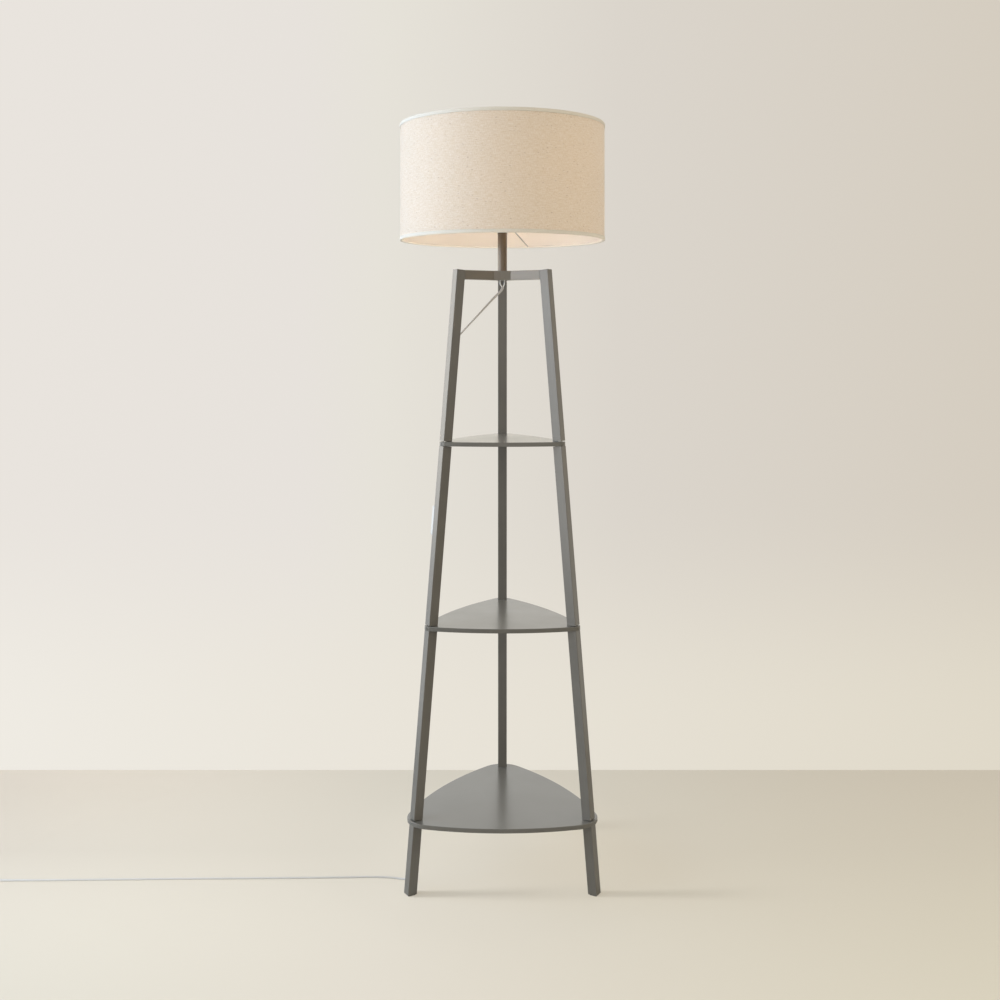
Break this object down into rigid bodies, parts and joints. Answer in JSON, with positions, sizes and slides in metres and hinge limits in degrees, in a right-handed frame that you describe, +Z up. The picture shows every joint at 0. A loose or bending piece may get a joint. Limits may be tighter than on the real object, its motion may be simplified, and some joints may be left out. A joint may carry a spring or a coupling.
{
  "type": "floor lamp with shelves",
  "caption": "Three-legged floor lamp with rounded triangular shelves between the legs, a short stem, a linen drum shade and a trailing lead with an inline switch and a plug.",
  "frame": {"origin": "on the floor under the stem's axis, midway between the feet", "axes": "+Z up along the stem; -Y is the front, so the single back leg is towards +Y; +X is to the right of somebody facing the front"},
  "size_m": [1.3895, 0.4489, 1.602],
  "materials": {
    "painted_wood": "grey satin paint",
    "dowel_wood": "bare beech",
    "glide": "matt",
    "zinc_steel": "bright zinc plate",
    "painted_tube": "grey-brown satin paint",
    "white_moulding": "fine satin",
    "ceramic_white": "glazed, white",
    "brass": "bright",
    "plug_nickel": "nickel plate",
    "cap_aluminium": "bright",
    "frosted_glass": "frosted white",
    "linen": "open linen weave with slubs",
    "tape": "plain woven tape",
    "white_wire": "white powder coat",
    "lead_sheath": "smooth PVC",
    "tie": "paper-covered wire band"
  },
  "bodies": {
    "stand": {"arm_back": "painted_wood", "arm_dowels": "dowel_wood", "arm_left": "painted_wood", "arm_right": "painted_wood", "bottom_shelf": "painted_wood", "bottom_shelf_inserts": "zinc_steel", "bottom_shelf_studs": "zinc_steel", "centre_contact": "brass", "contact_shell": "brass", "foot_pad_back": "glide", "foot_pad_left": "glide", "foot_pad_right": "glide", "hub": "painted_wood", "hub_dowels": "dowel_wood", "lampholder_cap": "white_moulding", "lampholder_core": "ceramic_white", "lampholder_skirt": "white_moulding", "lead_clips": "white_moulding", "lead_coil": "lead_sheath", "lead_lower": "lead_sheath", "lead_outlet": "white_moulding", "lead_tie": "tie", "lead_upper": "lead_sheath", "leg_back_foot": "painted_wood", "leg_back_lower": "painted_wood", "leg_back_middle": "painted_wood", "leg_back_upper": "painted_wood", "leg_left_foot": "painted_wood", "leg_left_lower": "painted_wood", "leg_left_middle": "painted_wood", "leg_left_upper": "painted_wood", "leg_right_foot": "painted_wood", "leg_right_lower": "painted_wood", "leg_right_middle": "painted_wood", "leg_right_upper": "painted_wood", "middle_shelf": "painted_wood", "middle_shelf_inserts": "zinc_steel", "middle_shelf_studs": "zinc_steel", "nipple": "zinc_steel", "nipple_nut": "zinc_steel", "nipple_washer": "zinc_steel", "plug_body": "white_moulding", "plug_pins": "plug_nickel", "shade_nut": "white_moulding", "stem": "painted_tube", "switch_base": "white_moulding", "switch_cover": "white_moulding", "switch_screws": "zinc_steel", "top_shelf": "painted_wood", "top_shelf_inserts": "zinc_steel", "top_shelf_studs": "zinc_steel"},
    "shade": {"shade_drum": "linen", "shade_frame": "white_wire", "shade_top_ring": "white_wire", "shade_trim_bottom": "tape", "shade_trim_top": "tape"},
    "bulb": {"bulb_cap": "cap_aluminium", "bulb_globe": "frosted_glass"},
    "rocker": {"switch_rocker": "white_moulding"}
  },
  "joints": [
    {"name": "shade_turn", "type": "hinge", "parent": "stand", "child": "shade", "pos_m": [0, 0, 1.398], "axis": [0, 0, 1], "continuous": true},
    {"name": "bulb_out", "type": "slide", "parent": "stand", "child": "bulb", "axis": [0, 0, 1], "range_m": [0, 0.03]},
    {"name": "rocker_tilt", "type": "hinge", "parent": "stand", "child": "rocker", "pos_m": [-0.13793, -0.05446, 0.76156], "axis": [0.8627, 0.4981, -0.088], "range_deg": [0, 14]}
  ]
}
